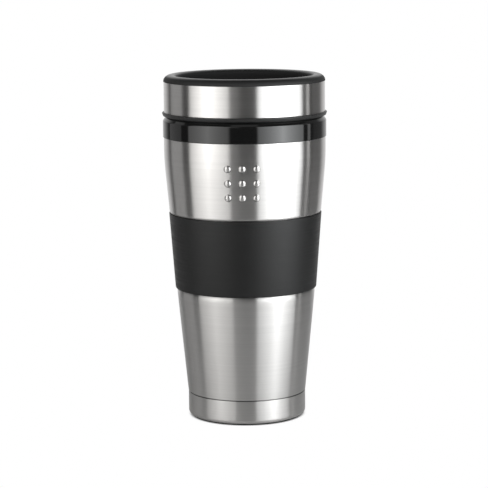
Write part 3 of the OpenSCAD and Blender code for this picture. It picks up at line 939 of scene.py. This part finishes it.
def lid_plug():
    """Flange and the skirt that goes into the mouth."""
    low_r = FLANGE_R - FLANGE_DRAW
    low_z = SEAT_Z + FLANGE_LIFT
    outline = [(PLUG_BORE_R, PLUG_LOW_Z)]
    outline += [(PLUG_R - PLUG_CHAMFER, PLUG_LOW_Z), (PLUG_R, PLUG_LOW_Z + PLUG_CHAMFER)]
    outline += [(PLUG_R, GASKET_GROOVE_LOW), (GASKET_GROOVE_R, GASKET_GROOVE_LOW)]
    outline += [(GASKET_GROOVE_R, GASKET_GROOVE_TOP), (PLUG_R, GASKET_GROOVE_TOP)]
    outline += [(PLUG_R, SEAT_Z), (land_edge(), SEAT_Z)]
    outline += [(low_r - FLANGE_CHAMFER, low_z), (low_r, low_z + FLANGE_CHAMFER)]
    outline += arc((FLANGE_R - FLANGE_EDGE, FLANGE_TOP_Z - FLANGE_EDGE), FLANGE_EDGE, 0, 90, 10)
    outline += [(PLUG_BORE_R, FLANGE_TOP_Z)]
    return turned("lid_plug", outline, SATIN)


def lid_gasket():
    """Seal with two rounded lips, at a quarter and three quarters of its height."""
    back_r = GASKET_GROOVE_R + PRESS_GAP
    height = GASKET_TOP_Z - GASKET_LOW_Z
    outline = [(back_r, GASKET_LOW_Z), (PLUG_R, GASKET_LOW_Z)]
    for middle_z in (GASKET_LOW_Z + height / 4, GASKET_TOP_Z - height / 4):
        for out, up in arc((0, 0), 1, -90, 90):
            outline.append((PLUG_R + (GASKET_R - PLUG_R) * out, middle_z + height / 5 * up))
    outline += [(PLUG_R, GASKET_TOP_Z), (back_r, GASKET_TOP_Z)]
    return turned("lid_gasket", outline, SILICONE, HIDDEN_SEGMENTS)


# Slider

def slider_plan(width):
    """Plan of the slider at rest: straight sides and a front that follows the recess wall."""
    def plan(inset):
        front_r = SLIDER_FRONT_R - inset
        side_x = width / 2 - inset
        corner_x = side_x - SLIDER_CORNER
        corner_y = SLIDER_BACK_Y + inset + SLIDER_CORNER
        spread = math.degrees(math.asin(side_x / front_r))
        points = arc((0, -SLIDER_TRAVEL), front_r, 90 - spread, 90 + spread, 24)
        points += arc((-corner_x, corner_y), SLIDER_CORNER, 180, 270, 4)
        points += arc((corner_x, corner_y), SLIDER_CORNER, 270, 360, 4)
        return points

    return plan


def thumb_tab():
    """Bell-shaped bar across the slider with soft, narrower ends. Its root is sunk in the slider."""
    rings = []
    for i in range(TAB_SLICES + 1):
        share = math.sin(math.pi * (i / TAB_SLICES - 0.5))
        x = share * TAB_W / 2
        fullness = max(0.0, 1 - abs(share) ** TAB_SQUARENESS) ** (1 / TAB_SQUARENESS)
        length = TAB_L * (1 - TAB_NARROWING * (1 - fullness))
        ring = []
        for j in range(TAB_STEPS + 1):
            along = j / TAB_STEPS - 0.5
            bell = TAB_H * fullness * math.cos(math.pi * along) ** 2
            ring.append((x, TAB_Y + along * length, SLIDER_TOP_Z - TAB_SINK + bell))
        ring += [(x, TAB_Y + side * TAB_ROOT_L / 2, SLIDER_TOP_Z - TAB_ROOT_D) for side in (1, -1)]
        rings.append(ring)
    return lofted("thumb_tab", rings, SATIN)


def tab_ribs():
    """Ribs for the thumb: one bar with round ends, repeated over the bell."""
    straight = (TAB_W - TAB_L / 2) / 2 - RIB_R
    rings = []
    for i in range(RIB_SLICES + 1):
        turn = math.pi * (i / RIB_SLICES - 0.5)
        end = straight if turn > 0 else -straight
        x = end + RIB_R * math.sin(turn)
        radius = RIB_R * max(math.cos(turn), RIB_TIP)
        circle = arc((0, 0), radius, 0, 360, RIB_SIDES)[:-1]
        rings.append([(x, y, z) for y, z in circle])
    ribs = lofted("tab_ribs", rings, SATIN)
    return grow(ribs, RIBS, {
        "Count": RIB_COUNT, "Pitch": RIB_PITCH * MM, "Middle": TAB_Y * MM, "Bell": TAB_H * MM,
        "Length": TAB_L * MM, "Base": SLIDER_TOP_Z * MM, "Material": SATIN,
    })


def slider():
    """Plate with stepped edges, a thumb tab and its ribs, hollowed for the sealing pad."""
    low_z = SLIDER_LOW_Z
    plate = slab(
        "slider", slider_plan(SLIDER_W), low_z, SLIDER_EDGE_Z, SATIN, SLIDER_LOW_EDGE, SLIDER_STEP_EDGE
    )
    middle = slab(
        "slider_middle", slider_plan(SLIDER_TOP_W), SLIDER_EDGE_Z - SLIDER_OVERLAP, SLIDER_TOP_Z, SATIN,
        top_edge=SLIDER_TOP_EDGE,
    )
    pocket = slab("pocket_tool", seal_plan(PRESS_GAP), low_z - CUT_BELOW, low_z + SEAL_POCKET, SATIN)
    combined("UNION", plate, middle, thumb_tab(), tab_ribs())
    return combined("DIFFERENCE", plate, pocket)


def seal_plan(gap):
    """Plan of the sealing pad at rest, with a gap around it."""
    around = 2 * (SEAL_MARGIN + gap)
    return round_plate(SIP_W + around, SIP_L + around, SIP_L / 2, SIP_Y - SLIDER_TRAVEL)


def slider_seal():
    """Sealing pad under the slider."""
    lo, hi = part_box("slider_seal")
    return slab(
        "slider_seal", seal_plan(0), lo.z / MM, hi.z / MM, SILICONE, SEAL_LOW_EDGE, SEAL_TOP_EDGE
    )


BODIES = {
    "mug": [("outer_shell", outer_shell, "brushed_steel"), ("grip_band", grip_band, "grip_rubber"),
            ("inner_liner", inner_liner, "gloss_black"), ("base_cap", base_cap, "brushed_steel"),
            ("base_pad", base_pad, "seal_rubber")],
    "lid": [("lid_top", lid_top, "satin_black"), ("lid_band", lid_band, "brushed_steel"),
            ("lid_plug", lid_plug, "satin_black"), ("lid_gasket", lid_gasket, "silicone")],
    "slider": [("slider", slider, "satin_black"), ("slider_seal", slider_seal, "silicone")],
}
for body, rows in BODIES.items():
    for node, build, slot in rows:
        piece = build()
        piece.name = f"{node}_finished"
        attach(piece, body)
        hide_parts(node)

hidden_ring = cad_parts["liner_seal"]
hidden_ring.data.materials.clear()
hidden_ring.data.materials.append(RUBBER)


# Stage. Distances of the camera and the lights are in metres.

CAMERA_AZIMUTH = 2.05
CAMERA_DISTANCE = 1.0524
CAMERA_HEIGHT = 0.2534
CAMERA_PITCH = 8.888
CAMERA_ROLL = -0.52
CAMERA_LENS = 151.89
CAMERA_SENSOR = 36.0
CAMERA_SHIFT = (-0.00344, 0.00102)
FLOOR_HALF = 12000
TABLE_HALF = 300
TABLE_Z = -0.5
TABLE_SHADE = 0.58
CONTACT_REACH = 0.006
CONTACT_SHADE = 0.01
AIR_SHADE = 0.07


def camera():
    """The photograph's view."""
    data = bpy.data.cameras.new("camera")
    data.lens = CAMERA_LENS
    data.sensor_width = CAMERA_SENSOR
    data.shift_x, data.shift_y = CAMERA_SHIFT
    view = bpy.data.objects.new("camera", data)
    turn = Matrix.Rotation(math.radians(CAMERA_AZIMUTH), 4, "Z")
    tilt = Matrix.Rotation(math.radians(90 - CAMERA_PITCH), 4, "X")
    roll = Matrix.Rotation(math.radians(CAMERA_ROLL), 4, "Z")
    view.matrix_world = turn @ Matrix.Translation((0, -CAMERA_DISTANCE, CAMERA_HEIGHT)) @ tilt @ roll
    bpy.context.scene.collection.objects.link(view)
    bpy.context.scene.camera = view


def floor(name, half, height, surface):
    """A square flat floor as wide as twice half, with a shader made from the start of its tree."""
    material, start = new_finish(name)
    start.make("ShaderNodeOutputMaterial", None, {"Surface": surface(start)})
    corners = [(-half, -half, height), (half, -half, height), (half, half, height), (-half, half, height)]
    plane = new_piece(name, corners, (), [(0, 1, 2, 3)])
    plane.data.materials.append(material)
    return plane


def pale_surface(start):
    """Plain white, with a thin dark shadow where something stands on it."""
    sockets = {"Distance": CONTACT_REACH}
    open_share = start.make("ShaderNodeAmbientOcclusion", {"samples": 16}, sockets, "AO")
    colour = open_share.eased(0.05, 0.6).mixed(grey(CONTACT_SHADE), grey(1.0))
    return start.make("ShaderNodeEmission", None, {"Color": colour})


def table_surface(start):
    """Plain pale grey, for the light that comes up from below."""
    return start.make("ShaderNodeBsdfDiffuse", None, {"Color": grey(TABLE_SHADE)})


def panel(name, azimuth, half_angle, low, top, radiance, distance=0.7, colour=(1, 1, 1), fades=(0.02, 0.02),
          hot_spot=0.0, falloff=1.0):
    """A flat soft light that faces the mug, at an azimuth from the camera's side.

    Its two ends fade over the given shares of its width. It is brightest at its hot spot, from -1 to 1
    across, and falls to the falloff share over half a width."""
    width = 2 * distance * math.tan(math.radians(half_angle))
    height = top - low
    data = bpy.data.lights.new(name, "AREA")
    data.shape = "RECTANGLE"
    data.size, data.size_y = width, height
    data.energy = radiance * math.pi * width * height
    data.color = colour
    data.use_nodes = True
    data.node_tree.nodes.clear()
    start = Wire(data.node_tree)
    across, _, _ = start.make("ShaderNodeNewGeometry", out="Parametric").parts()
    shape = across.eased(0.0, fades[0]) * (1 - across.eased(1.0 - fades[1], 1.0))
    off_spot = (across - 0.5) * 2 - hot_spot
    glow = start.make("ShaderNodeEmission", None, {"Strength": shape * falloff ** abs(off_spot)})
    start.make("ShaderNodeOutputLight", None, {"Surface": glow})
    light = bpy.data.objects.new(name, data)
    turn = Matrix.Rotation(math.radians(CAMERA_AZIMUTH + azimuth), 4, "Z")
    face = Matrix.Rotation(math.radians(90), 4, "X")
    light.matrix_world = turn @ Matrix.Translation((0, -distance, (low + top) / 2)) @ face
    light.visible_camera = False
    bpy.context.scene.collection.objects.link(light)
    return light


def studio():
    """Soft panels around the mug, white air and a floor for the camera, and a table for light from below."""
    panel("key_right", azimuth=52.5, half_angle=36.9, low=-0.2, top=0.7, radiance=6.6,
          colour=(0.97, 0.99, 1.0), fades=(0.07, 0.03), hot_spot=0.02, falloff=0.26)
    panel("fill_left", azimuth=-51.7, half_angle=33.3, low=-0.2, top=1.0, radiance=2.9,
          colour=(1.0, 1.0, 0.99), fades=(0.05, 0.1), falloff=0.38)
    panel("spill_left", azimuth=-12, half_angle=9, low=0.12, top=1.0, radiance=0.33,
          colour=(1.0, 1.0, 0.99), fades=(0.1, 0.6))
    panel("overhead", azimuth=0, half_angle=30, low=1.0, top=2.0, radiance=0.3)
    panel("strip_right", azimuth=100, half_angle=3, low=0.0, top=0.8, radiance=1.2, distance=0.9)
    panel("wall_right", azimuth=121, half_angle=11, low=-0.3, top=0.8, radiance=0.09, distance=0.9)
    panel("wall_left", azimuth=-113, half_angle=15, low=-0.3, top=0.8, radiance=0.37, distance=0.9)
    panel("backdrop", azimuth=180, half_angle=50.2, low=-0.6, top=1.6, radiance=1.0, distance=1.2,
          fades=(0.25, 0.25), falloff=0.35)
    world = bpy.data.worlds.new("studio")
    world.use_nodes = True
    world.node_tree.nodes.clear()
    start = Wire(world.node_tree)
    seen = start.make("ShaderNodeLightPath", out="Is Camera Ray")
    air = start.make("ShaderNodeBackground", None, {"Color": seen.mixed(grey(AIR_SHADE), grey(1.0))})
    start.make("ShaderNodeOutputWorld", None, {"Surface": air})
    bpy.context.scene.world = world
    shown = floor("floor", FLOOR_HALF, 0.0, pale_surface)
    shown.visible_glossy = False
    shown.visible_diffuse = False
    shown.visible_shadow = False
    table = floor("table", TABLE_HALF, TABLE_Z, table_surface)
    table.visible_camera = False
    bpy.context.scene.view_settings.view_transform = "Standard"


camera()
studio()
